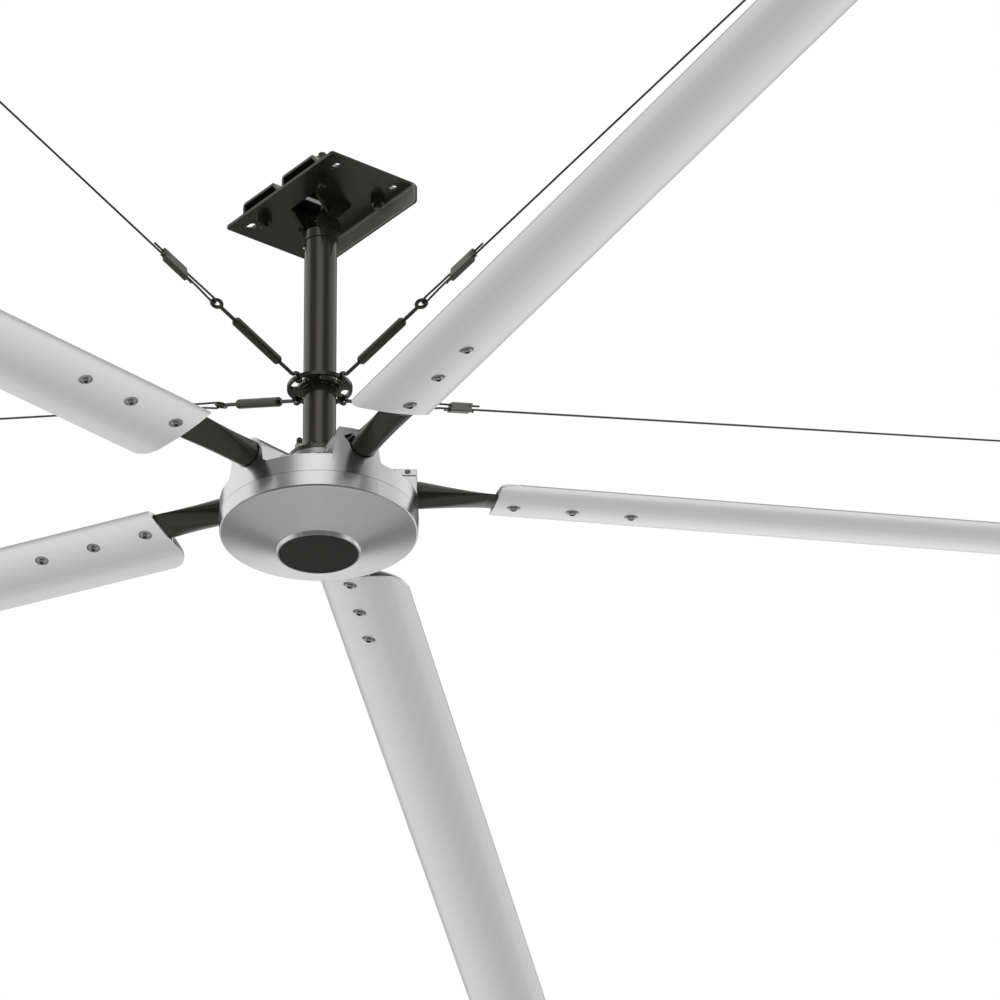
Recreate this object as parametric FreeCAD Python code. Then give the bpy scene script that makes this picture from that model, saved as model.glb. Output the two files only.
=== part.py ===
import FreeCAD, Part
import math
import os

os.makedirs("parts", exist_ok=True)

V = FreeCAD.Vector
X_AXIS = V(1, 0, 0)
Z_AXIS = V(0, 0, 1)
ORIGIN = V(0, 0, 0)

# Overlength of a cutting tool past each face that it opens.
OVER = 1.0

# Mounting plate. The origin is the middle of its top face, X runs along its long side.
PLATE_LENGTH = 266.0
PLATE_WIDTH = 156.0
PLATE_THICKNESS = 5.0
PLATE_CORNER_RADIUS = 4.0
PLATE_LIP_HEIGHT = 31.0
PLATE_BEND_RADIUS = 2.0
SLOT_EDGE_X = 27.0
SLOT_EDGE_Y = 26.0
SLOT_WIDTH = 11.0
SLOT_LENGTH = 20.0
OPENING_HALF_Y = 34.0
EAR_INNER_X = 28.0
EAR_HALF_WIDTH = 31.0
EAR_TIP_RADIUS = 12.0
PIVOT_Z = -25.0
PIVOT_RADIUS = 6.0

# Channel clamps that grip the flange of a beam.
CLAMP_WIDTH = 90.0
CLAMP_HEIGHT = 17.0
CLAMP_WALL = 4.0
CLAMP_SLANT = 14.0
CLAMP_SLANT_WALL = 5.2
CLAMP_STARTS = (-90.0, 8.0)
CLAMP_CORNER = 6.0
CLAMP_STUD_SPACING_X = 144.0
CLAMP_STUD_SPACING_Y = 102.0
CLAMP_STUD_RADIUS = 6.0
CLAMP_STUD_BOTTOM = -24.0
CLAMP_STUD_TOP = 35.0
CLAMP_STUD_CHAMFER = 1.2
HEX_FLATS = 18.0
HEX_HEAD_HEIGHT = 7.5
HEX_NUT_HEIGHT = 10.5
BOLT_CLEARANCE = 0.5
PIVOT_TAIL = 4.0

# Yoke between the ears and the down tube.
YOKE_HALF_X = 21.0
YOKE_HALF_Y = 20.0
YOKE_LEG_THICKNESS = 5.0
YOKE_LEG_RADIUS = 14.0
YOKE_SHOULDER_Z = -36.0
YOKE_COLLAR_RADIUS = 25.8
YOKE_COLLAR_TOP = -50.0
YOKE_COLLAR_CHAMFER = 2.0
YOKE_PLUG_LENGTH = 18.0

# Down tube and foot flange.
TUBE_RADIUS = 24.15
TUBE_WALL = 3.2
TUBE_TOP = -67.0
TUBE_FOOT = -430.0
FLANGE_RADIUS = 46.0
FLANGE_THICKNESS = 8.0
FLANGE_BOLT_CIRCLE = 38.0
FLANGE_BOLT_RADIUS = 4.0
FLANGE_CHAMFER = 1.0
FLANGE_TAP_DEPTH = 20.0
GLAND_CIRCLE = 35.0
GLAND_AZIMUTH = -91.4
GLAND_BASE_HEIGHT = 9.0
GLAND_BASE_FLATS = 13.0
GLAND_RADIUS = 4.6
GLAND_NUT_RADIUS = 4.4
GLAND_GROOVE_RADIUS = 3.8
GLAND_GROOVE_Z = 4.6
GLAND_GROOVE_WIDTH = 1.0
GLAND_EDGE = 0.6
GLAND_SHOULDER_Z = 10.6
GLAND_TOP_Z = 12.6
GLAND_TOP_RADIUS = 2.6

# Socket screws of the foot flange and of the arms.
SCREW_HEAD_RADIUS = 7.0
SCREW_HEAD_HEIGHT = 4.4
SCREW_SOCKET = 5.0
SCREW_CLEARANCE = 0.3

# Guy ring.
RING_Z = -313.5
RING_RADIUS = 48.0
RING_THICKNESS = 6.0
RING_COLLAR_RADIUS = 28.6
RING_COLLAR_DROP = 4.0
RING_SLOT_INNER = 32.0
RING_SLOT_OUTER = 43.4
RING_SLOT_ANGLE = 64.0
RING_SLOT_COUNT = 4
RING_SLOT_OFFSET = -13.2
RING_SCREW_RADIUS = 1.5
RING_SCREW_STANDOUT = 1.5

# Guy wires. Distances along a wire are counted from the middle of the ring's outer bar.
GUY_AZIMUTH = 8.24
GUY_RISE = 19.7
GUY_DROP = 2.0
GUY_REACH = (900.0, 1618.0, 757.0, 687.0)
WIRE_RADIUS = 1.6
ROD_RADIUS = 2.8
HOOK_BEND = 6.8
HOOK_GAP = 0.02
HOOK_NECK = 6.0
HOOK_TIP_ANGLE = 305.0
HOOK_ROD_END = 58.0
BODY_START = 38.5
BODY_END = 134.0
BODY_RADIUS = 7.2
BODY_END_TAPER = 3.0
BODY_END_DROP = 2.0
ROD_CLEARANCE = 0.05
EYE_ROD_START = 116.0
EYE_CENTRE = 172.4
EYE_RADIUS = 7.4
GRIP_START = 234.0
GRIP_END = 289.0
GRIP_HALF_WIDTH = 7.2
GRIP_THICKNESS = 10.0
GRIP_SHEAR = 9.0
GRIP_EDGE = 1.2
GRIP_PIN_Z = -5.2
GRIP_PIN_RADIUS = 1.0
GRIP_PIN_HEAD = 1.7
GRIP_PIN_REACH = 9.0
GRIP_BUTTON_RADIUS = 2.8
GRIP_BUTTON_INSET = 8.0
GRIP_BUTTON_Z = 3.0
GRIP_BUTTON_STANDOUT = 0.9
WIRE_TAIL_END = 306.0
WIRE_TAIL_Z = 4.0
WIRE_MAIN_Z = -1.2
WIRE_BEND_RADIUS = 60.0
WIRE_BEND_LEAD = 1.0
LOOP_RADIUS = 4.6
FERRULE_LENGTH = 26.0
FERRULE_RADIUS = 4.5
END_EYE_RADIUS = 8.0

# Hub.
HUB_RADIUS = 144.4
HUB_WALL = 8.4
HUB_DRAFT = 2.0
HUB_TOP = -502.0
HUB_SEAM = -530.7
SEAM_GAP = 0.5
DECK_TOP = -507.0
DECK_BOTTOM = -515.0
DRUM_EDGE = 1.5
LUG_TOP = -456.0
LUG_WALL_RADIUS = 25.4
LUG_LEADING_FOOT = 28.5
LUG_FOOT_RADIUS = 5.0
LUG_TRAILING_TOP = 38.5
LUG_TRAILING_FOOT = 47.0
LUG_TAPER = 0.15
LUG_CORNER = 3.0
LUG_DEPTH = 66.0
LUG_ROOT = 2.0
LUG_STEP_Z = -468.0
LUG_STEP_DEPTH = 1.8
LUG_STEP_INSET = 9.0
SOCKET_DEPTH = 52.4
SOCKET_MOUTH_RADIUS = 21.6
SOCKET_MOUTH_DEPTH = 8.0
NOTCH_DEPTH = 22.0
NOTCH_OUTLINE = ((-30.0, -470.5), (-16.0, -463.5), (-8.0, -470.0), (-15.5, -489.0))
LUG_HOLE_INSET = 20.4
LUG_HOLE_Z = -462.3
LUG_HOLE_RADIUS = 4.4
LUG_HOLE_DEPTH = 11.0
COVER_EDGE_Z = -553.0
COVER_EDGE_RADIUS = 3.8
COVER_NOSE_Z = -583.0
COVER_NOSE_RADIUS = 61.0
COVER_WALL = 4.2
SPIGOT_WALL = 10.0
SPIGOT_GAP = 2.0
NOSE_WALL = 4.0
NOSE_DEPTH = 5.9
NOSE_TAPER = 1.5
BADGE_RADIUS = 57.4
BADGE_THICKNESS = 1.5
BADGE_RECESS = 2.0
BADGE_GAP = 0.2
BADGE_CHAMFER = 0.4
COVER_SCREW_INSET = 7.4
COVER_SCREW_DEPTH = 12.0
COVER_SCREW_BOSS = 5.5
COVER_SCREW_RADIUS = 3.0
COVER_SCREW_HEAD_RADIUS = 4.8
COVER_SCREW_HEAD_HEIGHT = 3.8
COVER_SCREW_SOCKET = 3.0
COVER_SCREW_ANGLES = (24.0, 42.0)

# Motor.
SHAFT_RADIUS = 17.45
SHAFT_END_RADIUS = 14.95
SHAFT_BORE = 8.0
SHAFT_NECK_RADIUS = 30.0
SHAFT_NECK_TAPER = 14.0
SHAFT_NECK_FOOT = 8.0
SHAFT_SHOULDER_RADIUS = 23.0
SHAFT_SHOULDER_GAP = 0.4
SHAFT_STEP = 1.0
BEARING_CLEARANCE = 0.05
UPPER_BEARING_TOP = -500.0
UPPER_BEARING_WIDTH = 17.0
UPPER_BEARING_RADIUS = 36.0
LOWER_BEARING_TOP = -541.0
LOWER_BEARING_WIDTH = 16.0
LOWER_BEARING_RADIUS = 31.0
BEARING_RACE_SHARE = 0.28
SHIELD_RECESS = 0.8
UPPER_SEAT_WALL = 8.0
UPPER_SEAT_LEDGE = 4.0
UPPER_SEAT_FLOOR = 3.0
UPPER_SEAT_BLEND = 4.0
UPPER_SEAT_DRAFT = 2.0
LOWER_SEAT_WALL = 7.0
LOWER_SEAT_LEDGE = 8.0
CORE_TOP = -526.0
CORE_BOTTOM = -536.0
CORE_HUB_RADIUS = 58.0
AIR_GAP = 1.0
TOOTH_COUNT = 12
TOOTH_WIDTH = 18.0
TOOTH_TIP_HEIGHT = 6.0
COIL_BUILD = 4.0
COIL_END_GAP = 9.0
COIL_HEIGHT = 3.0
COIL_CORNER = 2.0
MAGNET_THICKNESS = 6.0
MAGNET_INSET = 21.0
MAGNET_OVERHANG = 2.0
MAGNET_RIB_WALL = 4.0
MAGNET_RIB_RISE = 3.0

# Arms and blades. Section axes: s along the chord to the leading edge, t square to it,
# both counted from the axis of the arm.
BLADE_COUNT = 5
BLADE_AZIMUTH = -9.8
ARM_Z = -479.5
ARM_RADIUS = 20.0
ARM_WALL = 2.6
ARM_FLAT_HALF_WIDTH = 28.4
ARM_FLAT_HALF_HEIGHT = 5.0
ARM_ROUND_END = 148.0
ARM_FLAT_START = 246.0
ARM_END = 484.0
ARM_SCREW_INSET = 26.4
ARM_SCREW_RADIUS = 4.0
ARM_SCREW_TAIL = 2.0
BLADE_PITCH = 9.72
BLADE_ROOT = 258.0
BLADE_TIP = 1829.0
LEADING_EDGE = 45.0
TRAILING_EDGE = -90.0
CHORD_T = -4.6
CREST_S = -2.0
CREST_HEIGHT = 14.0
TAIL_START_S = -50.0
TAIL_START_DROP = 0.6
TAIL_START_ANGLE = 7.0
LEADING_NOSE = 1.5
TRAILING_NOSE = 1.0
BLADE_WALL = 2.2
CHANNEL_HALF = 30.0
WEB_THICKNESS = 2.5
ROOT_CORNER_TRAILING = 30.0
ROOT_CORNER_LEADING = 3.0
BLADE_BOLT_FIRST = 286.0
BLADE_BOLT_PITCH = 86.9
BLADE_BOLT_RADIUS = 5.0
BLADE_BOLT_HEAD = 10.0
BLADE_BOLT_SEAT = -7.75
BLADE_BOLT_COLLAR_EDGE = 0.9
BLADE_BOLT_COLLAR = 1.5
BLADE_BOLT_DOME_RADIUS = 6.6
BLADE_BOLT_DOME_HEIGHT = 4.6
BLADE_BOLT_SOCKET = 6.0
BLADE_BOLT_TAIL = 1.0
CAP_THICKNESS = 3.0
CAP_PLUG = 12.0


def save(name, shape):
    if isinstance(shape, list):
        shape = Part.makeCompound(shape)
    shape.exportStep("parts/" + name + ".step")


def cylinder(radius, start, direction, length):
    return Part.makeCylinder(radius, length, start, direction)


def disc(radius, z_low, z_high):
    return cylinder(radius, V(0, 0, z_low), Z_AXIS, z_high - z_low)


def box(x0, x1, y0, y1, z0, z1):
    return Part.makeBox(x1 - x0, y1 - y0, z1 - z0, V(x0, y0, z0))


def line(start, end):
    return Part.makeLine(start, end)


def arc(start, middle, end):
    return Part.Arc(start, middle, end).toShape()


def polygon_face(points):
    return Part.Face(Part.makePolygon(points + [points[0]]))


def revolved(profile):
    return polygon_face([V(r, 0, z) for r, z in profile]).revolve(ORIGIN, Z_AXIS, 360)


def fused(shapes):
    return shapes[0].multiFuse(shapes[1:]).removeSplitter()


def turned(shape, azimuth):
    copy = shape.copy()
    copy.rotate(ORIGIN, Z_AXIS, azimuth)
    return copy


def hexagon(flats, z_low, z_high):
    corner = flats / math.sqrt(3.0)
    points = [
        V(corner * math.cos(math.radians(60 * i)), corner * math.sin(math.radians(60 * i)), z_low)
        for i in range(6)
    ]
    prism = polygon_face(points).extrude(V(0, 0, z_high - z_low))
    crown = Part.makeCone(corner + (z_high - z_low), corner, z_high - z_low, V(0, 0, z_low), Z_AXIS)
    return prism.common(crown)


def hex_bolt(radius, flats, head_height, length):
    """Bolt with its head above z = 0 and its shank below."""
    shank = disc(radius, -length, 0)
    return hexagon(flats, 0, head_height).fuse(shank).removeSplitter()


def hex_nut(radius, flats, height):
    return hexagon(flats, 0, height).cut(disc(radius, -OVER, height + OVER))


def button_screw(radius, head_radius, head_height, length, socket_flats):
    """Screw with a domed socket head above z = 0 and its shank below."""
    rim = 0.35 * head_height
    dome = revolved(
        [
            (0, 0),
            (head_radius, 0),
            (head_radius, rim),
            (0.86 * head_radius, 0.72 * head_height),
            (0.62 * head_radius, head_height),
            (0, head_height),
        ]
    )
    socket = hexagon(socket_flats, 0.35 * head_height, head_height + socket_flats)
    return dome.cut(socket).fuse(disc(radius, -length, 0)).removeSplitter()


# Mounting plate
plate_bottom = -PLATE_THICKNESS
half_length = PLATE_LENGTH / 2
half_width = PLATE_WIDTH / 2
bend_outer = PLATE_BEND_RADIUS + PLATE_THICKNESS
bend_y = half_width - bend_outer
bend_mid = bend_outer * math.sqrt(0.5)
bend_mid_inner = PLATE_BEND_RADIUS * math.sqrt(0.5)
lip_inner = half_width - PLATE_THICKNESS


def plate_point(y, z):
    return V(-half_length, y, z)


plate_profile = [
    line(plate_point(-half_width, 0), plate_point(bend_y, 0)),
    arc(
        plate_point(bend_y, 0),
        plate_point(bend_y + bend_mid, bend_mid - bend_outer),
        plate_point(half_width, -bend_outer),
    ),
    line(plate_point(half_width, -bend_outer), plate_point(half_width, -PLATE_LIP_HEIGHT)),
    line(plate_point(half_width, -PLATE_LIP_HEIGHT), plate_point(lip_inner, -PLATE_LIP_HEIGHT)),
    line(plate_point(lip_inner, -PLATE_LIP_HEIGHT), plate_point(lip_inner, -bend_outer)),
    arc(
        plate_point(lip_inner, -bend_outer),
        plate_point(bend_y + bend_mid_inner, bend_mid_inner - bend_outer),
        plate_point(bend_y, plate_bottom),
    ),
    line(plate_point(bend_y, plate_bottom), plate_point(-half_width, plate_bottom)),
    line(plate_point(-half_width, plate_bottom), plate_point(-half_width, 0)),
]
plate = Part.Face(Part.Wire(plate_profile)).extrude(V(PLATE_LENGTH, 0, 0))
free_corners = [
    edge
    for edge in plate.Edges
    if abs(edge.CenterOfMass.y + half_width) < 0.01 and abs(edge.CenterOfMass.z - plate_bottom / 2) < 0.01
]
plate = plate.makeFillet(PLATE_CORNER_RADIUS, free_corners)
lip_corners = [
    edge
    for edge in plate.Edges
    if abs(edge.CenterOfMass.z + PLATE_LIP_HEIGHT) < 0.01
    and abs(abs(edge.CenterOfMass.x) - half_length) < 0.01
]
plate = plate.makeFillet(PLATE_CORNER_RADIUS, lip_corners)
cut_low = plate_bottom - OVER
cut_length = PLATE_THICKNESS + 2 * OVER
plate = plate.cut(box(-EAR_INNER_X, EAR_INNER_X, -OPENING_HALF_Y, OPENING_HALF_Y, cut_low, OVER))

# Ears folded down from the plate: each tapers to its round tip along the tangents
fold_z = plate_bottom - PLATE_BEND_RADIUS
fold_angle = math.atan2(fold_z - PIVOT_Z, EAR_HALF_WIDTH)
fold_distance = math.hypot(fold_z - PIVOT_Z, EAR_HALF_WIDTH)
tangent_angle = fold_angle - math.acos(EAR_TIP_RADIUS / fold_distance)
tangent_y = EAR_TIP_RADIUS * math.cos(tangent_angle)
tangent_z = PIVOT_Z + EAR_TIP_RADIUS * math.sin(tangent_angle)
ear_outer = EAR_INNER_X + PLATE_THICKNESS
for ear_x in (EAR_INNER_X, -ear_outer):
    ear_outline = [
        line(V(ear_x, -EAR_HALF_WIDTH, 0), V(ear_x, EAR_HALF_WIDTH, 0)),
        line(V(ear_x, EAR_HALF_WIDTH, 0), V(ear_x, EAR_HALF_WIDTH, fold_z)),
        line(V(ear_x, EAR_HALF_WIDTH, fold_z), V(ear_x, tangent_y, tangent_z)),
        arc(
            V(ear_x, tangent_y, tangent_z),
            V(ear_x, 0, PIVOT_Z - EAR_TIP_RADIUS),
            V(ear_x, -tangent_y, tangent_z),
        ),
        line(V(ear_x, -tangent_y, tangent_z), V(ear_x, -EAR_HALF_WIDTH, fold_z)),
        line(V(ear_x, -EAR_HALF_WIDTH, fold_z), V(ear_x, -EAR_HALF_WIDTH, 0)),
    ]
    plate = plate.fuse(Part.Face(Part.Wire(ear_outline)).extrude(V(PLATE_THICKNESS, 0, 0)))
plate = plate.removeSplitter()
pivot_start = V(-ear_outer - OVER, 0, PIVOT_Z)
pivot_bore = cylinder(PIVOT_RADIUS, pivot_start, X_AXIS, 2 * (ear_outer + OVER))
plate = plate.cut(pivot_bore)
stud_x = CLAMP_STUD_SPACING_X / 2
stud_y = CLAMP_STUD_SPACING_Y / 2
stud_places = [(sx * stud_x, sy * stud_y) for sx in (-1, 1) for sy in (-1, 1)]
stud_bore = disc(CLAMP_STUD_RADIUS + BOLT_CLEARANCE, cut_low, CLAMP_HEIGHT + OVER)
stud_bores = [stud_bore.translated(V(x, y, 0)) for x, y in stud_places]
plate = plate.cut(stud_bores)
slot_reach = (SLOT_LENGTH - SLOT_WIDTH) / 2
slot_side = SLOT_WIDTH / 2
slot = box(-slot_reach, slot_reach, -slot_side, slot_side, cut_low, OVER)
for end in (-slot_reach, slot_reach):
    slot = slot.fuse(cylinder(slot_side, V(end, 0, cut_low), Z_AXIS, cut_length))
slot = slot.removeSplitter()
slot_x = half_length - SLOT_EDGE_X
slot_y = half_width - SLOT_EDGE_Y
plate = plate.cut([slot.translated(V(sx * slot_x, sy * slot_y, 0)) for sx in (-1, 1) for sy in (-1, 1)])
save("mounting_plate", plate)

# Channel clamps with their studs and nuts
inner_top = CLAMP_HEIGHT - CLAMP_WALL
slant_inner = CLAMP_SLANT * inner_top / CLAMP_HEIGHT
for number, start in enumerate(CLAMP_STARTS):
    section = [
        (0, 0),
        (0, CLAMP_HEIGHT),
        (CLAMP_WIDTH - CLAMP_SLANT, CLAMP_HEIGHT),
        (CLAMP_WIDTH, 0),
        (CLAMP_WIDTH - CLAMP_SLANT_WALL, 0),
        (CLAMP_WIDTH - CLAMP_SLANT_WALL - slant_inner, inner_top),
        (CLAMP_WALL, inner_top),
        (CLAMP_WALL, 0),
    ]
    clamp = polygon_face([V(start + x, -half_width, z) for x, z in section]).extrude(V(0, PLATE_WIDTH, 0))
    outer_corner = (V(start, 0, CLAMP_HEIGHT), CLAMP_CORNER)
    inner_corner = (V(start + CLAMP_WALL, 0, inner_top), CLAMP_CORNER - CLAMP_WALL)
    for place, radius in (outer_corner, inner_corner):
        corner_edges = [edge for edge in clamp.Edges if edge.CenterOfMass.distanceToPoint(place) < 0.01]
        clamp = clamp.makeFillet(radius, corner_edges)
    clamp = clamp.cut(stud_bores)
    save("beam_clamp_%d" % (number + 1), clamp)
stud = disc(CLAMP_STUD_RADIUS, CLAMP_STUD_BOTTOM, CLAMP_STUD_TOP)
stud = stud.makeChamfer(CLAMP_STUD_CHAMFER, [edge for edge in stud.Edges if edge.isClosed()])
upper_nut = hex_nut(CLAMP_STUD_RADIUS, HEX_FLATS, HEX_NUT_HEIGHT)
lower_nut = upper_nut.copy()
lower_nut.rotate(ORIGIN, X_AXIS, 180)
save("clamp_studs", [stud.translated(V(x, y, 0)) for x, y in stud_places])
clamp_nuts = [upper_nut.translated(V(x, y, CLAMP_HEIGHT)) for x, y in stud_places]
clamp_nuts += [lower_nut.translated(V(x, y, plate_bottom)) for x, y in stud_places]
save("clamp_nuts", clamp_nuts)

# Pivot bolt and nut, along X through both ears
pivot_length = 2 * ear_outer + HEX_NUT_HEIGHT + PIVOT_TAIL
pivot_bolt = hex_bolt(PIVOT_RADIUS, HEX_FLATS, HEX_HEAD_HEIGHT, pivot_length)
pivot_bolt.rotate(ORIGIN, V(0, 1, 0), 90)
pivot_bolt.translate(V(ear_outer, 0, PIVOT_Z))
save("pivot_bolt", pivot_bolt)
pivot_nut = hex_nut(PIVOT_RADIUS, HEX_FLATS, HEX_NUT_HEIGHT)
pivot_nut.rotate(ORIGIN, V(0, 1, 0), -90)
pivot_nut.translate(V(-ear_outer, 0, PIVOT_Z))
save("pivot_nut", pivot_nut)

# Hanger yoke: two legs on a round collar with a plug for the tube
leg_foot = YOKE_COLLAR_TOP - YOKE_COLLAR_CHAMFER
leg_face = polygon_face(
    [
        V(0, -YOKE_LEG_RADIUS, PIVOT_Z),
        V(0, YOKE_LEG_RADIUS, PIVOT_Z),
        V(0, YOKE_HALF_Y, YOKE_SHOULDER_Z),
        V(0, YOKE_HALF_Y, leg_foot),
        V(0, -YOKE_HALF_Y, leg_foot),
        V(0, -YOKE_HALF_Y, YOKE_SHOULDER_Z),
    ]
)
leg = leg_face.extrude(V(YOKE_LEG_THICKNESS, 0, 0))
leg = leg.fuse(cylinder(YOKE_LEG_RADIUS, V(0, 0, PIVOT_Z), X_AXIS, YOKE_LEG_THICKNESS))
leg = leg.removeSplitter().translated(V(YOKE_HALF_X - YOKE_LEG_THICKNESS, 0, 0))
tube_bore = TUBE_RADIUS - TUBE_WALL
collar = revolved(
    [
        (0, YOKE_COLLAR_TOP),
        (YOKE_COLLAR_RADIUS - YOKE_COLLAR_CHAMFER, YOKE_COLLAR_TOP),
        (YOKE_COLLAR_RADIUS, leg_foot),
        (YOKE_COLLAR_RADIUS, TUBE_TOP),
        (tube_bore, TUBE_TOP),
        (tube_bore, TUBE_TOP - YOKE_PLUG_LENGTH),
        (0, TUBE_TOP - YOKE_PLUG_LENGTH),
    ]
)
yoke = fused([collar, leg, turned(leg, 180)])
save("hanger_yoke", yoke.cut(pivot_bore))

# Down tube, foot flange, gland
tube = disc(TUBE_RADIUS, TUBE_FOOT, TUBE_TOP).cut(disc(tube_bore, TUBE_FOOT - OVER, TUBE_TOP + OVER))
save("down_tube", tube)
flange_bottom = TUBE_FOOT - FLANGE_THICKNESS
flange = disc(FLANGE_RADIUS, flange_bottom, TUBE_FOOT)
rim_edges = [edge for edge in flange.Edges if edge.isClosed()]
flange = flange.makeChamfer(FLANGE_CHAMFER, rim_edges)
flange = flange.cut(disc(SHAFT_BORE, flange_bottom - OVER, TUBE_FOOT + OVER))
flange_screw = button_screw(
    FLANGE_BOLT_RADIUS, SCREW_HEAD_RADIUS, SCREW_HEAD_HEIGHT, 2 * FLANGE_THICKNESS, SCREW_SOCKET
)
flange_screw.translate(V(FLANGE_BOLT_CIRCLE, 0, TUBE_FOOT))
flange_azimuths = [GLAND_AZIMUTH + 45 + 90 * i for i in range(4)]
flange_hole = disc(FLANGE_BOLT_RADIUS + SCREW_CLEARANCE, flange_bottom - OVER, TUBE_FOOT + OVER)
flange_hole.translate(V(FLANGE_BOLT_CIRCLE, 0, 0))
flange = flange.cut([turned(flange_hole, a) for a in flange_azimuths])
save("tube_flange", flange)
save("flange_bolts", [turned(flange_screw, a) for a in flange_azimuths])
gland_base = hexagon(GLAND_BASE_FLATS, 0, GLAND_BASE_HEIGHT)
gland_place = V(GLAND_CIRCLE, 0, TUBE_FOOT)
save("gland_base", turned(gland_base.translated(gland_place), GLAND_AZIMUTH))
groove_top = GLAND_GROOVE_Z + GLAND_GROOVE_WIDTH
gland = revolved(
    [
        (0, 0),
        (GLAND_RADIUS, 0),
        (GLAND_RADIUS, GLAND_GROOVE_Z - GLAND_EDGE),
        (GLAND_GROOVE_RADIUS, GLAND_GROOVE_Z),
        (GLAND_GROOVE_RADIUS, groove_top),
        (GLAND_NUT_RADIUS, groove_top + GLAND_EDGE),
        (GLAND_NUT_RADIUS, GLAND_SHOULDER_Z),
        (GLAND_TOP_RADIUS, GLAND_TOP_Z),
        (0, GLAND_TOP_Z),
    ]
)
save("cable_gland", turned(gland.translated(gland_place + V(0, 0, GLAND_BASE_HEIGHT)), GLAND_AZIMUTH))

# Guy ring with arc slots and set screws
ring_low = RING_Z - RING_THICKNESS / 2
ring_high = RING_Z + RING_THICKNESS / 2
collar_low = ring_low - RING_COLLAR_DROP
ring = fused([disc(RING_RADIUS, ring_low, ring_high), disc(RING_COLLAR_RADIUS, collar_low, ring_high)])
slot_mid = (RING_SLOT_INNER + RING_SLOT_OUTER) / 2
slot_half = (RING_SLOT_OUTER - RING_SLOT_INNER) / 2
slot_swing = RING_SLOT_ANGLE / 2 - math.degrees(slot_half / slot_mid)
slot_section = polygon_face(
    [
        V(RING_SLOT_INNER, 0, ring_low - OVER),
        V(RING_SLOT_OUTER, 0, ring_low - OVER),
        V(RING_SLOT_OUTER, 0, ring_high + OVER),
        V(RING_SLOT_INNER, 0, ring_high + OVER),
    ]
)
slot_cut = turned(slot_section, -slot_swing).revolve(ORIGIN, Z_AXIS, 2 * slot_swing)
for end in (-1, 1):
    round_end = cylinder(slot_half, V(slot_mid, 0, ring_low - OVER), Z_AXIS, RING_THICKNESS + 2 * OVER)
    slot_cut = slot_cut.fuse(turned(round_end, end * slot_swing))
for i in range(RING_SLOT_COUNT):
    ring = ring.cut(turned(slot_cut, GUY_AZIMUTH + RING_SLOT_OFFSET + 360.0 * i / RING_SLOT_COUNT))
ring = ring.cut(disc(TUBE_RADIUS, collar_low - OVER, ring_high + OVER))
screw_start = V(TUBE_RADIUS, 0, (collar_low + ring_low) / 2)
collar_wall = RING_COLLAR_RADIUS - TUBE_RADIUS
set_screw = cylinder(RING_SCREW_RADIUS, screw_start, X_AXIS, collar_wall + RING_SCREW_STANDOUT)
set_screw_hole = cylinder(RING_SCREW_RADIUS, screw_start - V(OVER, 0, 0), X_AXIS, collar_wall + 2 * OVER)
set_screw_azimuths = [GUY_AZIMUTH + 22.5 + 180 * i for i in range(2)]
ring = ring.cut([turned(set_screw_hole, a) for a in set_screw_azimuths])
save("guy_ring", ring)
save("ring_screws", [turned(set_screw, a) for a in set_screw_azimuths])


# Guy wires, each modelled along X with Z square to it, then tilted and turned into place
bar_distance = (RING_SLOT_OUTER + RING_RADIUS) / 2
bar_half = (RING_RADIUS - RING_SLOT_OUTER) / 2
hook_inner = HOOK_BEND - ROD_RADIUS
hook_seat = math.sqrt(hook_inner ** 2 - (RING_THICKNESS / 2) ** 2) - bar_half - HOOK_GAP


def along_wire(shape, number):
    copy = shape.translated(V(0, 0, -GUY_DROP))
    copy.rotate(ORIGIN, V(0, 1, 0), -GUY_RISE)
    copy.translate(V(bar_distance + hook_seat, 0, RING_Z))
    copy.rotate(ORIGIN, Z_AXIS, GUY_AZIMUTH + 90 * number)
    return copy


def swept(edges, radius):
    path = Part.Wire(edges)
    start = edges[0].valueAt(edges[0].FirstParameter)
    tangent = edges[0].tangentAt(edges[0].FirstParameter)
    section = Part.Wire(Part.makeCircle(radius, start, tangent))
    return path.makePipeShell([section], True, False)


# The bowl of a hook lies round the ring's bar, a little above the line of its rod
bowl_centre = V(0, 0, GUY_DROP)
neck_low = HOOK_NECK - GUY_DROP
neck_x = math.sqrt((HOOK_BEND + HOOK_NECK) ** 2 - neck_low ** 2)
neck_angle = math.atan2(neck_low, neck_x)


def on_bowl(angle):
    return bowl_centre + V(HOOK_BEND * math.cos(angle), 0, HOOK_BEND * math.sin(angle))


neck_half = (2.5 * math.pi + neck_angle) / 2
neck_mid = V(neck_x + HOOK_NECK * math.cos(neck_half), 0, HOOK_NECK + HOOK_NECK * math.sin(neck_half))
tip_angle = math.radians(HOOK_TIP_ANGLE)
hook = swept(
    [
        line(V(HOOK_ROD_END, 0, 0), V(neck_x, 0, 0)),
        arc(V(neck_x, 0, 0), neck_mid, on_bowl(neck_angle)),
        arc(on_bowl(neck_angle), on_bowl((neck_angle + tip_angle) / 2), on_bowl(tip_angle)),
    ],
    ROD_RADIUS,
)
eye_ring = Part.makeTorus(EYE_RADIUS, ROD_RADIUS, V(EYE_CENTRE, 0, 0), Z_AXIS)
eye_rod = cylinder(ROD_RADIUS, V(EYE_ROD_START, 0, 0), X_AXIS, EYE_CENTRE - EYE_RADIUS - EYE_ROD_START)
eye = eye_ring.fuse(eye_rod)
body_profile = [
    (BODY_START, ROD_RADIUS + ROD_CLEARANCE),
    (BODY_START, BODY_RADIUS - BODY_END_DROP),
    (BODY_START + BODY_END_TAPER, BODY_RADIUS),
    (BODY_END - BODY_END_TAPER, BODY_RADIUS),
    (BODY_END, BODY_RADIUS - BODY_END_DROP),
    (BODY_END, ROD_RADIUS + ROD_CLEARANCE),
]
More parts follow.
